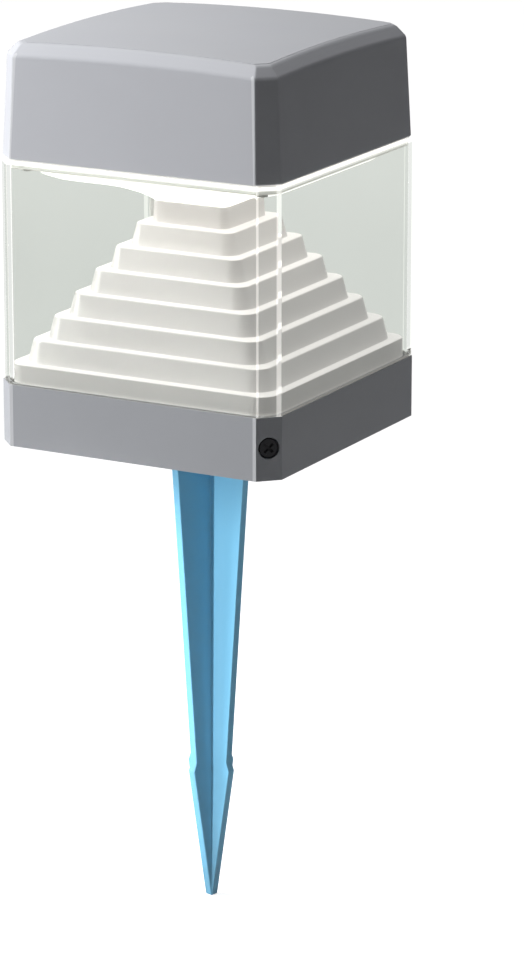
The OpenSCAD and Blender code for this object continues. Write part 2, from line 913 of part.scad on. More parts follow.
module led_board() {
    board_z = lamp_z + lamp_h / 2 - board_t;
    color("#e9ece8") {
        rod(lamp_d / 2 - 2 - running, board_z, board_t);
        for (turn = [0:30:330]) rotate([0, 0, turn])
            translate([lamp_d * 0.32, 0, board_z - 0.4]) cube([3, 3, 0.9], center = true);
        for (turn = [0:60:300]) rotate([0, 0, turn])
            translate([lamp_d * 0.16, 0, board_z - 0.4]) cube([3, 3, 0.9], center = true);
    }
}

module lamp_pins() {
    color(BRASS)
        for (turn = [90, 270]) rotate([0, 0, turn]) translate([pin_pitch / 2, 0, 0]) {
            rod(lamp_pin_r, lamp_top_z, slot_lip + seat_gap + EPS);
            rod(lamp_pin_head_r, holder_z + slot_lip, 3);
        }
}

lamp_strap();
strap_screws();
lamp_holder();
holder_screws();
holder_nuts();
lamp_housing();
lamp_cover();
led_board();
lamp_pins();

// ---------- wiring ----------

module wire_duct() {
    color(WHITE) on_diagonal(-1)
        difference() {
            translate([duct_s - duct_t / 2, -duct_w / 2, duct_z])
                cube([duct_t, duct_w, duct_top_z - duct_z]);
            translate([duct_s - duct_t / 2 + duct_wall, -duct_w / 2 + duct_wall, duct_z - 1])
                cube([duct_t - 2 * duct_wall, duct_w - 2 * duct_wall, duct_top_z - duct_z + 2]);
        }
}

// Wire on one side of the duct's middle, from the plug to the lampholder
function wire_way(side) =
    let (under = duct_z - 2.3)
    [[-plug[0] / 2 + 2, block_y - side * wire_gap, arm_z - 4],
     [-plug[0] / 2 - 9, block_y - side * wire_gap, arm_z - 3],
     far(corner_s - 18, side * wire_gap, under),
     far(duct_s, side * wire_gap, under),
     far(duct_s, side * wire_gap, cap_z + wire_rise),
     far(duct_s - 2, side * 7.5, cap_z + 6),
     far(duct_s - 16, side * 7.5, cap_z + 11),
     far(holder_r + 6, side * 4, holder_z + holder_h - 4),
     far(holder_r - 4, side * 4, holder_z + holder_h - 4)];

module wire(side) {
    way = wire_way(side);
    for (i = [0:len(way) - 2]) {
        d = way[i + 1] - way[i];
        flat = sqrt(d[0] * d[0] + d[1] * d[1]);
        translate(way[i]) rotate([0, atan2(flat, d[2]), atan2(d[1], d[0])])
            cylinder(r = wire_r, h = norm(d), $fn = 24);
        if (i > 0) translate(way[i]) sphere(r = wire_r + 0.2, $fn = 24);
    }
}

module wire_live() {
    color("#7a4a2a") wire(1);
}

module wire_neutral() {
    color("#3f74b8") wire(-1);
}

module lead_plug() {
    color(BLACK)
        difference() {
            translate([-plug[0] / 2, block_y - plug[1] / 2, block_top_z + seat_gap]) cube(plug);
            for (side = [-1, 1]) translate([-plug[0] / 2 - 1, block_y + side * wire_gap, arm_z - 4])
                rotate([0, 90, 0]) cylinder(r = wire_r + 0.4, h = 4, $fn = ROUND);
        }
}

module plug_pins() {
    color(BRASS)
        for (x = [-1, 1]) translate([x * plug_pin_x, block_y, 0])
            rod(plug_pin_r, gasket_z + 2.5, block_top_z + seat_gap - gasket_z - 2.5);
}

wire_duct();
wire_live();
wire_neutral();
lead_plug();
plug_pins();
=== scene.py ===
import bmesh
import bpy
import json
import math
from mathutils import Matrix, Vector

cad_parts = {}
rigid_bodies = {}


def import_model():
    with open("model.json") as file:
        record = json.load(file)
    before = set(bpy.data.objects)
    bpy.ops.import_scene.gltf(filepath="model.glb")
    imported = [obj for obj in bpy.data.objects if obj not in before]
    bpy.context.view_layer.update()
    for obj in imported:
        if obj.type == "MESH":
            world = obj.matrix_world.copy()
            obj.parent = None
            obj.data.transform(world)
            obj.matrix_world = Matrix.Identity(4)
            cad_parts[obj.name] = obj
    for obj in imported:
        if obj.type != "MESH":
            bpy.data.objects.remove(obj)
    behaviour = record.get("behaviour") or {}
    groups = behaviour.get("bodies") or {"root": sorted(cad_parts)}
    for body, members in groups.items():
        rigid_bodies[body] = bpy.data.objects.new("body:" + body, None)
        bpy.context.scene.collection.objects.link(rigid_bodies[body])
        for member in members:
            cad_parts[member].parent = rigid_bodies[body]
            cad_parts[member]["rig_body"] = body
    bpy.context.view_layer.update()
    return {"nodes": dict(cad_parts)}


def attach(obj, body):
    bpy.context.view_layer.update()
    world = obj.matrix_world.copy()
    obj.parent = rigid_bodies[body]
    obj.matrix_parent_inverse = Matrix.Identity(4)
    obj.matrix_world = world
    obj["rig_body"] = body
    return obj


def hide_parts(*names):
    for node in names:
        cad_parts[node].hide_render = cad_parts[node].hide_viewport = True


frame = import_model()
mm = 0.001
scene = bpy.context.scene
print("frame loaded,", len(frame["nodes"]), "nodes")

# place in metres, turn and tilt in degrees, lens and sensor in millimetres
cameraSetup = {"place": (1.0367, -1.8458, 0.564), "turn": 28.6, "tilt": 15.62, "lens": 160.4, "sensor": 36,
               "clip": (0.05, 60)}


def makeCamera(setup):
    data = bpy.data.cameras.new("viewCamera")
    data.sensor_fit = "VERTICAL"
    data.sensor_height = setup["sensor"]
    data.lens = setup["lens"]
    data.clip_start, data.clip_end = setup["clip"]
    camera = bpy.data.objects.new("viewCamera", data)
    turn, tilt = math.radians(setup["turn"]), math.radians(setup["tilt"])
    look = Vector((-math.sin(turn) * math.cos(tilt), math.cos(turn) * math.cos(tilt), -math.sin(tilt)))
    camera.location = setup["place"]
    camera.rotation_euler = look.to_track_quat("-Z", "Y").to_euler()
    scene.collection.objects.link(camera)
    scene.camera = camera


makeCamera(cameraSetup)
scene.view_settings.view_transform = "Standard"


# short ways to place and join shader nodes

def node(tree, kind, **settings):
    made = tree.nodes.new(kind)
    for name, value in settings.items():
        setattr(made, name, value)
    return made


def wire(tree, *pairs):
    for source, target in pairs:
        tree.links.new(source, target)


def feed(tree, values, sockets):
    # a value that is itself a socket is wired in, any other is set
    for value, socket in zip(values, sockets):
        if isinstance(value, bpy.types.NodeSocket):
            tree.links.new(value, socket)
        else:
            socket.default_value = value


def mathNode(tree, operation, *values, clamp=False):
    made = node(tree, "ShaderNodeMath", operation=operation, use_clamp=clamp)
    feed(tree, values, made.inputs)
    return made.outputs[0]


def vectorNode(tree, operation, *values):
    made = node(tree, "ShaderNodeVectorMath", operation=operation)
    feed(tree, values, made.inputs)
    return made.outputs["Value" if operation == "LENGTH" else "Vector"]


def mapRange(tree, value, fromMin, fromMax, toMin=0, toMax=1):
    made = node(tree, "ShaderNodeMapRange")
    labels = ("Value", "From Min", "From Max", "To Min", "To Max")
    feed(tree, (value, fromMin, fromMax, toMin, toMax), [made.inputs[label] for label in labels])
    return made.outputs["Result"]


def noise(tree, place, scale, detail=2, roughness=0.5):
    made = node(tree, "ShaderNodeTexNoise")
    labels = ("Vector", "Scale", "Detail", "Roughness")
    feed(tree, (place, scale, detail, roughness), [made.inputs[label] for label in labels])
    return made.outputs["Fac"]


def objectPlace(tree):
    return node(tree, "ShaderNodeTexCoord").outputs["Object"]


def split(tree, vector):
    parts = node(tree, "ShaderNodeSeparateXYZ")
    wire(tree, (vector, parts.inputs[0]))
    return parts.outputs["X"], parts.outputs["Y"], parts.outputs["Z"]


def directView(tree):
    # 1 where the camera sees it straight, in a gloss or through glass, before any diffuse bounce
    path = node(tree, "ShaderNodeLightPath").outputs
    straight = mathNode(tree, "MAXIMUM", path["Is Camera Ray"], path["Is Glossy Ray"])
    seen = mathNode(tree, "MAXIMUM", straight, path["Is Transmission Ray"])
    return mathNode(tree, "MULTIPLY", seen, mathNode(tree, "LESS_THAN", path["Diffuse Depth"], 0.5))


worldSetup = {"skyColor": (0.93, 0.96, 1.0, 1), "skyLevel": 0.02, "backdropColor": (1, 1, 1, 1), "backdropLevel": 1.0}


def makeWorld(setup):
    world = bpy.data.worlds.new("paleStudio")
    scene.world = world
    world.use_nodes = True
    tree = world.node_tree
    tree.nodes.clear()
    sky, backdrop = node(tree, "ShaderNodeBackground"), node(tree, "ShaderNodeBackground")
    feed(tree, (setup["skyColor"], setup["skyLevel"]), sky.inputs)
    feed(tree, (setup["backdropColor"], setup["backdropLevel"]), backdrop.inputs)
    mix = node(tree, "ShaderNodeMixShader")
    out = node(tree, "ShaderNodeOutputWorld")
    wire(tree, (directView(tree), mix.inputs[0]), (sky.outputs[0], mix.inputs[1]),
         (backdrop.outputs[0], mix.inputs[2]), (mix.outputs[0], out.inputs["Surface"]))


makeWorld(worldSetup)

# fade: how far from the stake the paper starts and ends turning white; each pair below is near and far
floorSetup = {"size": 12.0, "height": -0.2555, "fade": (0.45, 1.0), "paper": (0.8, 0), "glow": (0.9, 1.02)}


def makeFloor(setup):
    mesh = bpy.data.meshes.new("studioFloor")
    half = setup["size"] / 2
    mesh.from_pydata([(-half, -half, 0), (half, -half, 0), (half, half, 0), (-half, half, 0)], [], [(0, 1, 2, 3)])
    floor = bpy.data.objects.new("studioFloor", mesh)
    floor.location.z = setup["height"]
    scene.collection.objects.link(floor)
    material = bpy.data.materials.new("floorPaper")
    material.use_nodes = True
    tree = material.node_tree
    tree.nodes.clear()
    paper = node(tree, "ShaderNodeBsdfDiffuse")
    glow = node(tree, "ShaderNodeEmission")
    both = node(tree, "ShaderNodeAddShader")
    clear = node(tree, "ShaderNodeBsdfTransparent")  # seen from below, the paper is left out
    side = node(tree, "ShaderNodeNewGeometry")
    mix = node(tree, "ShaderNodeMixShader")
    out = node(tree, "ShaderNodeOutputMaterial")
    away = vectorNode(tree, "LENGTH", objectPlace(tree))
    shine = mapRange(tree, away, *setup["fade"], *setup["glow"])
    wire(tree, (mapRange(tree, away, *setup["fade"], *setup["paper"]), paper.inputs["Color"]),
         (mathNode(tree, "MULTIPLY", directView(tree), shine), glow.inputs["Strength"]),
         (paper.outputs[0], both.inputs[0]), (glow.outputs[0], both.inputs[1]),
         (side.outputs["Backfacing"], mix.inputs[0]), (both.outputs[0], mix.inputs[1]),
         (clear.outputs[0], mix.inputs[2]), (mix.outputs[0], out.inputs["Surface"]))
    mesh.materials.append(material)


makeFloor(floorSetup)

# turn: degrees from the front face towards the right face, rise: degrees above level, aim: height it looks at
lampSetup = {
    "keyLeft": {"turn": -62, "rise": 20, "far": 1.6, "size": 0.9, "power": 34, "aim": 0.06},
    "overhead": {"turn": -38, "rise": 74, "far": 1.5, "size": 1.0, "power": 11, "aim": 0.06},
    "sideRight": {"turn": 131, "rise": 6, "far": 1.6, "size": 0.5, "power": 1.75, "aim": 0.06},
    "stakeSpot": {"turn": -22, "rise": -2, "far": 1.5, "size": 0.04, "power": 71, "aim": -0.138,
                  "cone": 9.9, "blend": 0.3},
}


def makeLamps(setup):
    for name, lamp in setup.items():
        data = bpy.data.lights.new(name, "SPOT" if "cone" in lamp else "AREA")
        if "cone" in lamp:
            data.shadow_soft_size = lamp["size"]
            data.spot_size = math.radians(lamp["cone"])
            data.spot_blend = lamp["blend"]
        else:
            data.shape = "DISK"
            data.size = lamp["size"]
        data.energy = lamp["power"]
        turn, rise = math.radians(lamp["turn"]), math.radians(lamp["rise"])
        away = Vector((math.sin(turn) * math.cos(rise), -math.cos(turn) * math.cos(rise), math.sin(rise)))
        light = bpy.data.objects.new(name, data)
        light.location = Vector((0, 0, lamp["aim"])) + away * lamp["far"]
        light.rotation_euler = (-away).to_track_quat("-Z", "Y").to_euler()
        scene.collection.objects.link(light)


makeLamps(lampSetup)
print("camera, floor and lamps placed")


# shader groups, each built once and placed in several materials

def newGroup(name, inputs, outputs):
    group = bpy.data.node_groups.new(name, "ShaderNodeTree")
    for label, kind, value in inputs:
        socket = group.interface.new_socket(name=label, in_out="INPUT", socket_type="NodeSocket" + kind)
        socket.default_value = value
    for label, kind in outputs:
        group.interface.new_socket(name=label, in_out="OUTPUT", socket_type="NodeSocket" + kind)
    return group, node(group, "NodeGroupInput").outputs, node(group, "NodeGroupOutput").inputs


def makeMouldGrain():
    # fine pitted grain of a moulded plastic, and the slow drift of its colour
    group, given, out = newGroup(
        "mouldGrain",
        [("Grain Size", "Float", 900), ("Drift Size", "Float", 14), ("Drift", "Float", 0.06)],
        [("Height", "Float"), ("Shade", "Float")])
    place = objectPlace(group)
    pits = node(group, "ShaderNodeTexVoronoi")
    feed(group, (place, given["Grain Size"]), (pits.inputs["Vector"], pits.inputs["Scale"]))
    grain = noise(group, place, given["Grain Size"], 3, 0.6)
    height = mathNode(group, "MULTIPLY_ADD", pits.outputs["Distance"], 0.5, grain)
    darkest = mathNode(group, "MULTIPLY_ADD", given["Drift"], -0.5, 1)
    shade = mathNode(group, "MULTIPLY_ADD", noise(group, place, given["Drift Size"]), given["Drift"], darkest)
    wire(group, (height, out["Height"]), (shade, out["Shade"]))
    return group


def makeEdgeWear():
    # rubbed edges, broken up by noise
    group, given, out = newGroup(
        "edgeWear",
        [("Amount", "Float", 0.5), ("Patch Size", "Float", 60), ("Sharpness", "Float", 0.53)],
        [("Mask", "Float")])
    pointed = node(group, "ShaderNodeNewGeometry").outputs["Pointiness"]
    edge = mapRange(group, pointed, given["Sharpness"], 0.62)
    worn = mathNode(group, "MULTIPLY", edge, noise(group, objectPlace(group), given["Patch Size"], 4))
    wire(group, (mathNode(group, "MULTIPLY", worn, given["Amount"], clamp=True), out["Mask"]))
    return group


def makeSettledDust():
    # thin dust on faces that look up
    group, given, out = newGroup(
        "settledDust", [("Amount", "Float", 0.3), ("Patch Size", "Float", 22)], [("Mask", "Float")])
    upward = mapRange(group, split(group, node(group, "ShaderNodeNewGeometry").outputs["Normal"])[2], 0.55, 1)
    layer = mathNode(group, "MULTIPLY", upward, noise(group, objectPlace(group), given["Patch Size"], 5))
    wire(group, (mathNode(group, "MULTIPLY", layer, given["Amount"], clamp=True), out["Mask"]))
    return group


def makeDrawnLines():
    # long fine lines of drawn or plated metal
    group, given, out = newGroup(
        "drawnLines", [("Line Size", "Float", 700), ("Stretch", "Vector", (1, 1, 0.06))],
        [("Height", "Float"), ("Shade", "Float")])
    stretched = vectorNode(group, "MULTIPLY", objectPlace(group), given["Stretch"])
    lines = noise(group, stretched, given["Line Size"], 3)
    wire(group, (lines, out["Height"]), (mapRange(group, lines, 0, 1, 0.88, 1.08), out["Shade"]))
    return group


def makeCornerStrip():
    # an upright strip beside each corner, in millimetres: from Low to High across the corner, past Far outwards
    group, given, out = newGroup(
        "cornerStrip", [("Low", "Float", -7), ("High", "Float", -6), ("Far", "Float", 100)], [("Mask", "Float")])
    x, y = split(group, vectorNode(group, "ABSOLUTE", objectPlace(group)))[:2]
    scale = 1 / (mm * math.sqrt(2))
    across = mathNode(group, "MULTIPLY", mathNode(group, "SUBTRACT", x, y), scale)
    outward = mathNode(group, "MULTIPLY", mathNode(group, "ADD", x, y), scale)
    inside = mathNode(group, "MULTIPLY", mathNode(group, "GREATER_THAN", across, given["Low"]),
                      mathNode(group, "LESS_THAN", across, given["High"]))
    mask = mathNode(group, "MULTIPLY", inside, mathNode(group, "GREATER_THAN", outward, given["Far"]))
    wire(group, (mask, out["Mask"]))
    return group


mouldGrain, edgeWear = makeMouldGrain(), makeEdgeWear()
settledDust, drawnLines = makeSettledDust(), makeDrawnLines()
cornerStrip = makeCornerStrip()


def startMaterial(name):
    material = bpy.data.materials.new(name)
    material.use_nodes = True
    tree = material.node_tree
    tree.nodes.clear()
    surface = node(tree, "ShaderNodeBsdfPrincipled")
    out = node(tree, "ShaderNodeOutputMaterial")
    wire(tree, (surface.outputs[0], out.inputs["Surface"]))
    return material, tree, surface


def useGroup(tree, group, **values):
    placed = node(tree, "ShaderNodeGroup", node_tree=group)
    for name, value in values.items():
        placed.inputs[name.replace("_", " ")].default_value = value
    return placed.outputs


def mixColors(tree, amount, first, second, kind="MIX"):
    mix = node(tree, "ShaderNodeMix", data_type="RGBA", blend_type=kind)
    feed(tree, (amount, first, second), (mix.inputs[0], mix.inputs[6], mix.inputs[7]))
    return mix.outputs[2]


def shadeColor(tree, color, shade):
    return mixColors(tree, 1.0, color, shade, "MULTIPLY")


def setSurface(surface, **values):
    for name, value in values.items():
        surface.inputs[name.replace("_", " ")].default_value = value


def addBump(tree, surface, height, strength, depth):
    bump = node(tree, "ShaderNodeBump")
    feed(tree, (strength, depth, height), (bump.inputs["Strength"], bump.inputs["Distance"], bump.inputs["Height"]))
    wire(tree, (bump.outputs[0], surface.inputs["Normal"]))


def grey(level):
    return level, level, level, 1


# strip is the pale colour painted beside each upright corner
agedPlastic = {"strip": (0.85, 0.86, 0.88, 1), "dust": (0.62, 0.62, 0.6, 1), "spread": 0.07, "depth": 0.05}


def mouldedPlastic(name, color, worn, rough=0.5, bump=0.25, grain=900, dust=0.25, wear=0.5, gloss=0.5, tint=1.0,
                   strip=None):
    material, tree, surface = startMaterial(name)
    s = agedPlastic
    grainNode = useGroup(tree, mouldGrain, Grain_Size=grain)
    rubbed = mixColors(tree, useGroup(tree, edgeWear, Amount=wear)["Mask"],
                       shadeColor(tree, (*color, 1), grainNode["Shade"]), (*worn, 1))
    if strip:
        # a pale strip is painted beside each upright corner
        mask = useGroup(tree, cornerStrip, Low=strip["low"], High=strip["high"], Far=strip["far"])["Mask"]
        rubbed = mixColors(tree, mathNode(tree, "MULTIPLY", mask, strip["amount"]), rubbed, s["strip"])
    dusty = mixColors(tree, useGroup(tree, settledDust, Amount=dust)["Mask"], rubbed, s["dust"])
    uneven = mapRange(tree, grainNode["Height"], 0.2, 1.0, rough - s["spread"], rough + s["spread"])
    wire(tree, (dusty, surface.inputs["Base Color"]), (uneven, surface.inputs["Roughness"]))
    addBump(tree, surface, grainNode["Height"], bump, s["depth"] * mm)
    setSurface(surface, Specular_IOR_Level=gloss, Specular_Tint=grey(tint))
    return material


agedMetal = {"rubbed": (0.82, 0.82, 0.8, 1), "wear": 0.8, "smoother": 0.08, "rougher": 0.1, "bump": 0.15,
             "depth": 0.03}


def platedMetal(name, color, rough=0.32):
    material, tree, surface = startMaterial(name)
    s = agedMetal
    lines = useGroup(tree, drawnLines)
    rubbed = mixColors(tree, useGroup(tree, edgeWear, Amount=s["wear"])["Mask"],
                       shadeColor(tree, (*color, 1), lines["Shade"]), s["rubbed"])
    uneven = mapRange(tree, lines["Height"], 0, 1, rough - s["smoother"], rough + s["rougher"])
    wire(tree, (rubbed, surface.inputs["Base Color"]), (uneven, surface.inputs["Roughness"]))
    setSurface(surface, Metallic=1)
    addBump(tree, surface, lines["Height"], s["bump"], s["depth"] * mm)
    return material


# strips across the corners and heights in millimetres, the rest are strengths of painted glow; haze is a painted glow
# that grows towards the top
paintedGleamSetup = {"wide": (3.9, 6.4), "thin": (-6.4, -5.2), "far": 104.9, "corner": 0.3,
              "flangeLow": 144.3, "flange": 0.32, "footHigh": 33.6, "foot": 0.08,
              "hazeFrom": 95, "hazeTo": 145, "haze": 0.012, "color": (1, 0.97, 0.93, 1)}


def paintedEdgeGleam(tree, setup):
    # painted highlights and glow in a clear shell: a wide and a thin strip at each corner, the flange, the foot, and a
    # haze towards the top
    height = split(tree, objectPlace(tree))[2]
    strips = [useGroup(tree, cornerStrip, Low=low, High=high, Far=setup["far"])["Mask"]
              for low, high in (setup["wide"], setup["thin"])]
    inFlange = mathNode(tree, "GREATER_THAN", height, setup["flangeLow"] * mm)
    inFoot = mathNode(tree, "LESS_THAN", height, setup["footHigh"] * mm)
    total = mapRange(tree, height, setup["hazeFrom"] * mm, setup["hazeTo"] * mm, 0, setup["haze"])
    for mask, strength in ((mathNode(tree, "ADD", *strips), "corner"), (inFlange, "flange"), (inFoot, "foot")):
        total = mathNode(tree, "MULTIPLY_ADD", mask, setup[strength], total)
    return shadeColor(tree, setup["color"], total)


# shadow: how much light passes each wall on its way to what stands behind it
clearSetup = {"color": (0.79, 0.81, 0.785, 1), "rough": 0.02, "ior": 1.05, "tint": 0.6, "shadow": 0.15,
              "rippleSize": 35, "rippleDrift": 0.04, "ripple": 0.02, "rippleDepth": 0.4}


def clearPlastic(name, setup):
    material, tree, surface = startMaterial(name)
    ripple = useGroup(tree, mouldGrain, Grain_Size=setup["rippleSize"], Drift=setup["rippleDrift"])
    addBump(tree, surface, ripple["Height"], setup["ripple"], setup["rippleDepth"] * mm)
    setSurface(surface, Roughness=setup["rough"], IOR=setup["ior"], Transmission_Weight=1,
               Specular_Tint=grey(setup["tint"]), Emission_Strength=1)
    path = node(tree, "ShaderNodeLightPath")
    passing = node(tree, "ShaderNodeBsdfTransparent")
    passing.inputs["Color"].default_value = grey(setup["shadow"])
    mix = node(tree, "ShaderNodeMixShader")
    # the emission carries the painted highlights and glow of the corners, flange, foot and top
    wire(tree, (shadeColor(tree, setup["color"], ripple["Shade"]), surface.inputs["Base Color"]),
         (paintedEdgeGleam(tree, paintedGleamSetup), surface.inputs["Emission Color"]),
         (path.outputs["Is Shadow Ray"], mix.inputs[0]), (surface.outputs[0], mix.inputs[1]),
         (passing.outputs[0], mix.inputs[2]), (mix.outputs[0], tree.nodes["Material Output"].inputs["Surface"]))
    return material


# the glow fades by height from full to top, and on the funnel it is painted glow; above edge is the rim, which has a
# dim painted glow and a painted shade line along its lip in the middle of each side
funnelGlow = {"glow": (1.0, 0.985, 0.95, 1), "level": 1.6, "low": 120, "high": 146, "top": 0.55, "edge": 141.7,
              "lip": 1.1, "rimGlow": (0.2, 0.2, 0.19, 1), "lipShadeColor": (0.3, 0.25, 0.21, 1), "lipEnds": (15, 50)}
lampGlow = {"glow": (1.0, 0.98, 0.93, 1), "level": 6.0, "low": 140, "high": 160, "top": 0.55}
opalSkin = {"hazeSize": 400, "driftSize": 40, "drift": 0.05, "rough": 0.35, "bump": 0.05, "depth": 0.05}


def glowingOpal(name, setup):
    # an opal skin glowing by its own emission, brightest near its lower end; on the lamp cover this is the lamp itself,
    # on the funnel it is painted glow standing in for the lamp light shining through
    material, tree, surface = startMaterial(name)
    s = opalSkin
    haze = useGroup(tree, mouldGrain, Grain_Size=s["hazeSize"], Drift=s["drift"], Drift_Size=s["driftSize"])
    place = objectPlace(tree)
    height = split(tree, place)[2]
    base = shadeColor(tree, setup["glow"], haze["Shade"])
    lit = shadeColor(tree, base, mapRange(tree, height, setup["low"] * mm, setup["high"] * mm, 1, setup["top"]))
    if "edge" in setup:
        edge = setup["edge"] * mm
        inRim = mathNode(tree, "GREATER_THAN", height, edge)
        lip = mapRange(tree, height, edge, edge + setup["lip"] * mm, 1, 0)
        x, y = split(tree, vectorNode(tree, "ABSOLUTE", place))[:2]
        middle = mapRange(tree, mathNode(tree, "MINIMUM", x, y), *(end * mm for end in setup["lipEnds"]))
        # painted shade: a dark line along the rim's lower lip, in the middle of each side
        lipShade = mathNode(tree, "MULTIPLY", mathNode(tree, "MULTIPLY", lip, middle), inRim)
        lit = mixColors(tree, inRim, lit, setup["rimGlow"])
        base = mixColors(tree, lipShade, base, setup["lipShadeColor"])
    wire(tree, (base, surface.inputs["Base Color"]), (lit, surface.inputs["Emission Color"]))
    setSurface(surface, Emission_Strength=setup["level"], Roughness=s["rough"])
    addBump(tree, surface, haze["Height"], s["bump"], s["depth"] * mm)
    return material


# heights in millimetres; upright and upward are the strengths of painted light on faces that stand and that look up
paintedStepLight = {"color": (1.0, 0.965, 0.955, 1), "upright": 0.2, "upward": 0.65, "facing": (0.2, 0.95),
             "low": 85, "high": 120, "top": 0.35}


def paintedLightFromAbove(material, setup):
    # painted light: emission on the white steps, stronger on faces that look up and weaker towards the top, standing in
    # for the soft light that an opal cover sheds on them
    tree = material.node_tree
    surface = tree.nodes["Principled BSDF"]
    facing = split(tree, node(tree, "ShaderNodeNewGeometry").outputs["Normal"])[2]
    upward = mapRange(tree, facing, *setup["facing"], setup["upright"], setup["upward"])
    height = split(tree, objectPlace(tree))[2]
    lower = mapRange(tree, height, setup["low"] * mm, setup["high"] * mm, 1, setup["top"])
    shade = shadeColor(tree, setup["color"], mathNode(tree, "MULTIPLY", upward, lower))
    wire(tree, (shade, surface.inputs["Emission Color"]))
    setSurface(surface, Emission_Strength=1)


# heights in millimetres; the darkening is strongest at the point and gone at high
tipDarkening = {"low": -255, "high": -165, "color": (0.05, 0.14, 0.21, 1), "amount": 0.5, "patchSize": 120,
              "uneven": (0.8, 0.6)}


def darkenTip(material, setup):
    # darker towards the point
    tree = material.node_tree
    surface = tree.nodes["Principled BSDF"]
    place = objectPlace(tree)
    depth = mapRange(tree, split(tree, place)[2], setup["low"] * mm, setup["high"] * mm, setup["amount"], 0)
    uneven = mathNode(tree, "MULTIPLY_ADD", noise(tree, place, setup["patchSize"]), *setup["uneven"])
    plainColor = surface.inputs["Base Color"].links[0].from_socket
    darkened = mixColors(tree, mathNode(tree, "MULTIPLY", depth, uneven), plainColor, setup["color"])
    wire(tree, (darkened, surface.inputs["Base Color"]))


plasticSetup = {
    "greyPlastic": {"color": (0.53, 0.54, 0.575), "worn": (0.6, 0.61, 0.64), "rough": 0.8, "gloss": 0.35,
                    "tint": 0.25, "strip": {"low": -7.3, "high": -6.1, "far": 100, "amount": 0.45}},
    # the base ring is the cap's grey plastic painted darker and less glossy, as painted shade for the lower part of the
    # head
    "shadedBasePlastic": {"color": (0.385, 0.395, 0.42), "worn": (0.46, 0.47, 0.5), "rough": 0.55, "gloss": 0.12,
                    "strip": {"low": -8.0, "high": -6.6, "far": 103, "amount": 0.45}},
    "stakePlastic": {"color": (0.185, 0.51, 0.745), "worn": (0.3, 0.6, 0.8), "rough": 0.42, "grain": 700,
                     "dust": 0.05, "gloss": 0.4},
    "whitePlastic": {"color": (0.8, 0.8, 0.78), "worn": (0.86, 0.86, 0.84), "rough": 0.4, "dust": 0.1},
    "reflectorWhite": {"color": (0.7, 0.668, 0.662), "worn": (0.78, 0.75, 0.75), "rough": 0.3, "bump": 0.08,
                       "dust": 0.0, "wear": 0.2},
    "blackPlastic": {"color": (0.025, 0.025, 0.027), "worn": (0.09, 0.09, 0.09), "rough": 0.45, "dust": 0.12},
    "blackRubber": {"color": (0.03, 0.03, 0.03), "worn": (0.07, 0.07, 0.07), "rough": 0.75, "bump": 0.4,
                    "grain": 500},
    "paleSilicone": {"color": (0.72, 0.73, 0.72), "worn": (0.8, 0.8, 0.8), "rough": 0.6},
    "boardMask": {"color": (0.82, 0.84, 0.81), "worn": (0.7, 0.55, 0.25), "rough": 0.35, "grain": 1500,
                  "dust": 0.05},
    "brownWire": {"color": (0.2, 0.075, 0.03), "worn": (0.3, 0.14, 0.08), "rough": 0.38},
    "blueWire": {"color": (0.04, 0.15, 0.45), "worn": (0.1, 0.25, 0.55), "rough": 0.38},
    "darkSteel": {"color": (0.012, 0.012, 0.014), "worn": (0.12, 0.12, 0.13), "rough": 0.4, "bump": 0.1,
                  "dust": 0.0, "gloss": 0.15},
    # the cap screws are coloured white as painted glare, so that they fade into the glow under the cap
    "glareWhiteSteel": {"color": (0.74, 0.74, 0.72), "worn": (0.6, 0.6, 0.6), "rough": 0.35, "bump": 0.1,
                     "dust": 0.05},
}
metalSetup = {
    "zincSteel": {"color": (0.62, 0.63, 0.64)},
    "pinBrass": {"color": (0.78, 0.58, 0.26), "rough": 0.28},
}
finishes = {name: mouldedPlastic(name, **values) for name, values in plasticSetup.items()}
finishes.update({name: platedMetal(name, **values) for name, values in metalSetup.items()})
finishes["clearLens"] = clearPlastic("clearLens", clearSetup)
finishes["funnelOpal"] = glowingOpal("funnelOpal", funnelGlow)
finishes["lampOpal"] = glowingOpal("lampOpal", lampGlow)
paintedLightFromAbove(finishes["reflectorWhite"], paintedStepLight)
darkenTip(finishes["stakePlastic"], tipDarkening)
print(len(finishes), "materials made")


# meshes are made from lines of points in millimetres

def addPiece(name, mesh, body, finish, replaced, sharp):
    mesh.validate()
    mesh.shade_smooth()
    mesh.set_sharp_from_angle(angle=math.radians(sharp))
    piece = bpy.data.objects.new(name, mesh)
    scene.collection.objects.link(piece)
    mesh.materials.clear()
    mesh.materials.append(finishes[finish])
    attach(piece, body)
    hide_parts(replaced)
    return piece


def meshFromRings(name, rings, looped=False):
    # rings of points joined in turn; looped joins the last ring to the first, otherwise both ends are filled
    size, count = len(rings[0]), len(rings)
    points = [p for ring in rings for p in ring]
    faces = []
    for j in range(count if looped else count - 1):
        here, there = j * size, (j + 1) % count * size
        for i in range(size):
            following = (i + 1) % size
            faces.append((here + i, here + following, there + following, there + i))
    if not looped:
        faces.append(tuple(range(size - 1, -1, -1)))
        faces.append(tuple((count - 1) * size + i for i in range(size)))
    mesh = bpy.data.meshes.new(name)
    mesh.from_pydata([tuple(v * mm for v in p) for p in points], [], faces)
    mesh.update()
    return mesh


mostRound = 0.45  # the largest share of a side that one rounded corner takes


def softTurn(start, corner, end, t):
    return tuple(start * (1 - t) ** 2 + corner * 2 * t * (1 - t) + end * t ** 2)


def roundedPath(points, radii, steps):
    # a line of points, such as (half width, height), whose corners are rounded
    out = []
    for i, point in enumerate(points):
        if radii[i] <= 0 or i in (0, len(points) - 1):
            out.append(tuple(point))
            continue
        here, before, after = Vector(point), Vector(points[i - 1]), Vector(points[i + 1])
        back, ahead = before - here, after - here
        reach = min(radii[i], back.length * mostRound, ahead.length * mostRound)
        start, end = here + back.normalized() * reach, here + ahead.normalized() * reach
        out += [softTurn(start, here, end, k / steps) for k in range(steps + 1)]
    return out


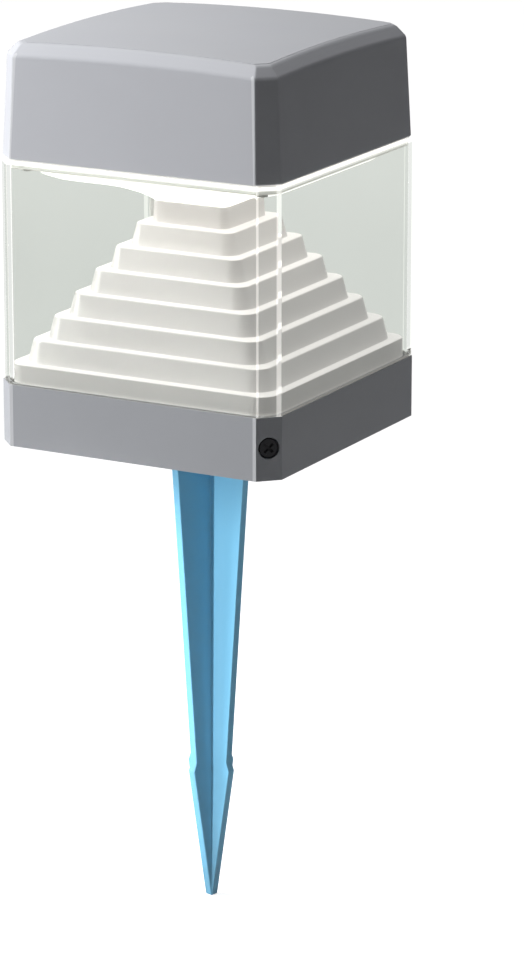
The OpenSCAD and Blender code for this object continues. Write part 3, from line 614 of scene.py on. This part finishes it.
def cutOutline(half, cut, soft, sideParts=12, arcParts=3):
    # a square with its corners cut flat and every upright edge a little round
    corners = [(half - cut, -half), (half, -half + cut), (half, half - cut), (half - cut, half),
               (-half + cut, half), (-half, half - cut), (-half, -half + cut), (-half + cut, -half)]
    out = []
    for i, corner in enumerate(corners):
        here, before, after = Vector(corner), Vector(corners[i - 1]), Vector(corners[(i + 1) % 8])
        reach = min(soft, cut * mostRound)
        start, end = here + (before - here).normalized() * reach, here + (after - here).normalized() * reach
        out += [softTurn(start, here, end, k / arcParts) for k in range(arcParts + 1)]
        if i % 2:
            following = after + (here - after).normalized() * reach
            out += [tuple(end.lerp(following, k / sideParts)) for k in range(1, sideParts)]
    return out


def roundOutline(half, radius, far=None, flat=False, arcParts=10, sideParts=6):
    # a square with round or cut corners; far is the radius of the corner at the back left
    signs = [(1, -1), (1, 1), (-1, 1), (-1, -1)]
    radii = [radius, radius, radius if far is None else far, radius]
    spots = []
    for quarter, (signX, signY) in enumerate(signs):
        r = radii[quarter]
        centre = Vector((signX * (half - r), signY * (half - r)))
        turn = math.pi / 2 * quarter
        arc = [centre + r * Vector((math.cos(turn + a), math.sin(turn + a)))
               for a in (math.pi / 2 * (k / arcParts - 1) for k in range(arcParts + 1))]
        if flat:
            arc = [arc[0].lerp(arc[-1], k / arcParts) for k in range(arcParts + 1)]
        spots.append(arc)
    out = []
    for quarter in range(4):
        start, end = spots[quarter][-1], spots[(quarter + 1) % 4][0]
        out += spots[quarter] + [start.lerp(end, k / sideParts) for k in range(1, sideParts)]
    return [tuple(p) for p in out]


def level(outline, height):
    return [(x, y, height) for x, y in outline]


# half widths, heights and corner cuts in millimetres; crown is how far each face bulges
capShape = {
    "low": 147.0, "lowHalf": 78.8, "lowCut": 9.1,
    "bevelLow": 198.0, "bevelLowHalf": 76.4, "bevelLowCut": 8.3,
    "crest": 204.0, "crestHalf": 71.1, "crestCut": 5.1,
    "crown": 2.0, "wall": 3.0, "edge": 1.3, "foot": 0.5, "soft": 0.7, "flatTop": 0.8,
    "innerDrop": 1.0, "innerIn": 2.0, "innerCut": 3.0, "innerLowCut": 6.0, "innerSoft": 1.0,
    "innerShares": (0.05, 0.3, 0.6, 0.85, 1.0), "topShares": (0.975, 0.93, 0.85, 0.74, 0.6, 0.45, 0.3, 0.15, 0.04),
    "sharp": 35,
}


def capRing(half, cut, height, arch, share=1.0, soft=capShape["soft"]):
    # one line round the cap, drawn in to a share of its width and arched with the top
    ring = []
    for x, y in cutOutline(half, cut, soft):
        lift = capShape["crown"] * arch * (2 - share ** 2 * ((x / half) ** 2 + (y / half) ** 2))
        ring.append((x * share, y * share, height + lift))
    return ring


def makeCap():
    s = capShape

    def cutAt(height):
        if height <= s["bevelLow"]:
            t = (height - s["low"]) / (s["bevelLow"] - s["low"])
            return s["lowCut"] + (s["bevelLowCut"] - s["lowCut"]) * t
        t = min(1, (height - s["bevelLow"]) / (s["crest"] - s["bevelLow"]))
        return s["bevelLowCut"] + (s["crestCut"] - s["bevelLowCut"]) * t

    def archAt(height):
        return max(0, min(1, (height - s["low"]) / (s["bevelLow"] - s["low"])))

    flatHalf = s["crestHalf"] * s["flatTop"]
    path = [(s["lowHalf"] - s["wall"], s["low"]), (s["lowHalf"], s["low"]), (s["bevelLowHalf"], s["bevelLow"]),
            (s["crestHalf"], s["crest"]), (flatHalf, s["crest"])]
    outer = [p for p in roundedPath(path, [0, s["foot"], s["edge"], s["edge"] * 1.4, 0], 4) if p != path[-1]]
    ceiling, shoulder = s["crest"] - s["wall"], s["bevelLow"] - s["innerDrop"]
    rings = [capRing(s["crestHalf"] - s["innerIn"], s["innerCut"], ceiling, 1, share, s["innerSoft"])
             for share in s["innerShares"]]
    rings.append(capRing(s["bevelLowHalf"] - s["wall"], s["innerLowCut"], shoulder, 1, 1, s["innerSoft"]))
    rings += [capRing(half, cutAt(height), height, archAt(height)) for half, height in outer]
    rings += [capRing(s["crestHalf"], s["crestCut"], s["crest"], 1, share) for share in s["topShares"]]
    cap = addPiece("capShell", meshFromRings("capShell", rings), "head", "greyPlastic", "top_cap",
                   s["sharp"])
    flat = cap.modifiers.new("flatFaces", "WEIGHTED_NORMAL")
    flat.keep_sharp = True


makeCap()

lensShape = {"low": 32.0, "top": 147.0, "half": 79.6, "cut": 9.2, "wall": 2.6, "edge": 0.35,
             "flange": 2.5, "hole": 70.0, "holeRound": 24.0, "sharp": 30}
chamferShare = 0.586  # how much a corner's cut shrinks for each millimetre that its sides move in


def makeLens():
    s = lensShape
    inner, e = s["half"] - s["wall"], s["edge"]
    low, top, under = s["low"], s["top"], s["top"] - s["flange"]

    def wallRing(half, height):
        return level(roundOutline(half, s["cut"] - (s["half"] - half) * chamferShare, flat=True), height)

    def holeRing(height):
        return level(roundOutline(s["hole"], s["holeRound"]), height)

    rings = [wallRing(inner, low + e), wallRing(inner + e, low), wallRing(s["half"] - e, low),
             wallRing(s["half"], low + e), wallRing(s["half"], (low + top) / 2), wallRing(s["half"], top - e),
             wallRing(s["half"] - e, top),
             holeRing(top), holeRing(under), wallRing(inner - e, under), wallRing(inner, under - e),
             wallRing(inner, (low + top) / 2)]
    addPiece("lensShell", meshFromRings("lensShell", rings, True), "head", "clearLens", "clear_lens",
             s["sharp"])


makeLens()

# near and far are the corner radii at the narrow and the wide end; far is the corner at the back left
reflectorShape = {"low": 32.0, "firstLedge": 41.6, "neck": 121.0, "ledges": 7, "footHalf": 76.0, "lowHalf": 75.2,
                  "topHalf": 28.0, "neckHalf": 21.5, "near": (4.5, 9.5), "far": (9.0, 20.0), "footMore": 2.7,
                  "lean": 3.0, "neckLean": 0.6, "wall": 2.0, "edge": 0.9, "innerEdge": 0.6,
                  "middle": (2.4, 2.3), "opening": (65.8, 3.0, 12.0), "sharp": 28}


def makeReflector():
    s = reflectorShape
    stepHeight = (s["neck"] - s["firstLedge"]) / s["ledges"]
    stepIn = (s["lowHalf"] - s["topHalf"]) / (s["ledges"] - 1)

    def spot(half, height, more=0.0):
        # half width, height and both corner radii of one line round the pyramid
        share = (half - s["neckHalf"]) / (s["lowHalf"] - s["neckHalf"])
        near, far = (low + (high - low) * share + more for low, high in (s["near"], s["far"]))
        return half + more, height, near, far

    path = [(s["footHalf"], s["low"], s["near"][1] + s["footMore"], s["far"][1] + s["footMore"])]
    for k in range(s["ledges"]):
        last = k == s["ledges"] - 1
        following = s["neckHalf"] if last else s["lowHalf"] - (k + 1) * stepIn
        height = s["firstLedge"] + k * stepHeight
        path += [spot(s["lowHalf"] - k * stepIn, height), spot(following, height, s["neckLean"] if last else s["lean"])]
    middle, tight = s["middle"]
    path += [spot(s["neckHalf"], s["neck"]), (middle, s["neck"], tight, tight)]
    radii = [0] + [s["edge"], s["edge"] * s["innerEdge"]] * s["ledges"] + [s["edge"], 0]
    rings = [level(roundOutline(half, near, far), height) for half, height, near, far in roundedPath(path, radii, 3)]
    wall = s["wall"]
    rings.append(level(roundOutline(middle, tight), s["neck"] - wall))
    rings += [level(roundOutline(half - wall, near - wall, far - wall), height - wall)
              for half, height, near, far in reversed(path[1:-1])]
    footInside = (s["footHalf"] - wall, path[0][2] - wall, path[0][3] - wall)
    rings += [level(roundOutline(*size), s["low"] + wall) for size in (footInside, s["opening"])]
    rings.append(level(roundOutline(*s["opening"]), s["low"]))
    addPiece("reflectorSteps", meshFromRings("reflectorSteps", rings, True), "head", "reflectorWhite",
             "stepped_reflector", s["sharp"])


makeReflector()

# curve: how far out and how far up the funnel's wall runs, as shares
funnelShape = {"neck": 121.0, "neckHalf": 21.5, "neckRound": (4.5, 9.0), "rimTop": 144.5, "rimLow": 142.0,
               "rimHalf": 76.6, "rimCut": 7.4, "rimEdge": 0.3, "hole": 70.0, "holeRound": 24.0, "wall": 1.6,
               "meet": 0.7, "sharp": 40,
               "curve": [(0, 0), (0.025, 0.04), (0.05, 0.08), (0.13, 0.18), (0.23, 0.275), (0.32, 0.35),
                         (0.42, 0.415), (0.56, 0.495), (0.72, 0.575), (0.85, 0.645), (0.94, 0.725),
                         (0.972, 0.82)]}


def makeFunnel():
    s = funnelShape
    span, height = s["hole"] + s["wall"] - s["neckHalf"], s["rimTop"] - s["neck"]

    def funnelRing(share, rise, inset=0.0):
        near, far = (r + (s["holeRound"] + s["wall"] - r) * share - inset for r in s["neckRound"])
        return level(roundOutline(s["neckHalf"] + span * share - inset, near, far), s["neck"] + height * rise + inset)

    def rimRing(inset, z):
        return level(roundOutline(s["rimHalf"] - inset, s["rimCut"], flat=True), z)

    e = s["rimEdge"]
    meet = level(roundOutline(s["hole"] + s["meet"], s["holeRound"] + s["meet"]), s["rimLow"])
    rings = [funnelRing(share, rise) for share, rise in s["curve"]] + [meet]
    rings += [rimRing(e, s["rimLow"]), rimRing(0, s["rimLow"] + e), rimRing(0, s["rimTop"] - e),
              rimRing(e, s["rimTop"]), level(roundOutline(s["hole"], s["holeRound"]), s["rimTop"])]
    rings += [funnelRing(share, rise, s["wall"]) for share, rise in reversed(s["curve"])]
    addPiece("opalFunnel", meshFromRings("opalFunnel", rings), "head", "funnelOpal", "upper_diffuser",
             s["sharp"])


makeFunnel()
print("head shells made")

# copies of CAD solids with softened edges, each width in millimetres
softSetup = {
    "base_ring": {"name": "baseRing", "finish": "shadedBasePlastic", "slot": "grey_plastic", "width": 0.6, "segments": 3},
    "mounting_plate": {"name": "basePlate", "finish": "greyPlastic", "slot": "grey_plastic", "width": 0.4,
                       "segments": 2},
    "ground_spike": {"name": "stakeBody", "finish": "stakePlastic", "slot": "stake_plastic", "width": 0.4,
                     "segments": 3},
    "corner_screw_front": {"name": "lockScrewFront", "finish": "darkSteel", "slot": "zinc_steel", "width": 0.2,
                           "segments": 2},
    "corner_screw_rear": {"name": "lockScrewRear", "finish": "darkSteel", "slot": "zinc_steel", "width": 0.2,
                          "segments": 2},
}
softEdge = {"join": 1e-6, "flat": 1, "limit": 30, "sharp": 32}  # metres, then degrees


def makeSoftened(solid, name, finish, slot, width, segments):
    source = frame["nodes"][solid]
    mesh = source.data.copy()
    mesh.name = name
    build = bmesh.new()
    build.from_mesh(mesh)
    bmesh.ops.remove_doubles(build, verts=build.verts, dist=softEdge["join"])
    bmesh.ops.dissolve_limit(build, angle_limit=math.radians(softEdge["flat"]), verts=build.verts, edges=build.edges)
    build.to_mesh(mesh)
    build.free()
    piece = addPiece(name, mesh, source["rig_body"], finish, solid, softEdge["sharp"])
    bevel = piece.modifiers.new("softEdges", "BEVEL")
    bevel.width = width * mm
    bevel.segments = segments
    bevel.limit_method = "ANGLE"
    bevel.angle_limit = math.radians(softEdge["limit"])
    bevel.use_clamp_overlap = True
    bevel.harden_normals = False


for solid, values in softSetup.items():
    makeSoftened(solid, **values)
print(len(softSetup), "softened copies made")

# finishes for the CAD nodes that stay in sight
keptFinish = {
    "zincSteel": ["spike_bolt", "spike_washer", "spike_nut", "terminal_screws", "reflector_screws", "neck_screw",
                  "lamp_strap", "strap_screws", "holder_screws", "holder_nuts"],
    "glareWhiteSteel": ["cap_screws"],
    "blackPlastic": ["gland_body", "gland_nut", "gland_locknut", "lead_plug"],
    "blackRubber": ["plate_gasket", "gland_seal"],
    "paleSilicone": ["lens_seal", "cap_seal"],
    "whitePlastic": ["terminal_block", "lamp_holder", "wire_duct", "lamp_housing"],
    "boardMask": ["led_board"],
    "pinBrass": ["plug_pins", "lamp_pins"],
    "lampOpal": ["lamp_cover"],
    "brownWire": ["wire_live"],
    "blueWire": ["wire_neutral"],
}
for finish, names in keptFinish.items():
    for name in names:
        shown = frame["nodes"][name]
        shown.data.materials.clear()
        shown.data.materials.append(finishes[finish])
print("CAD nodes finished")
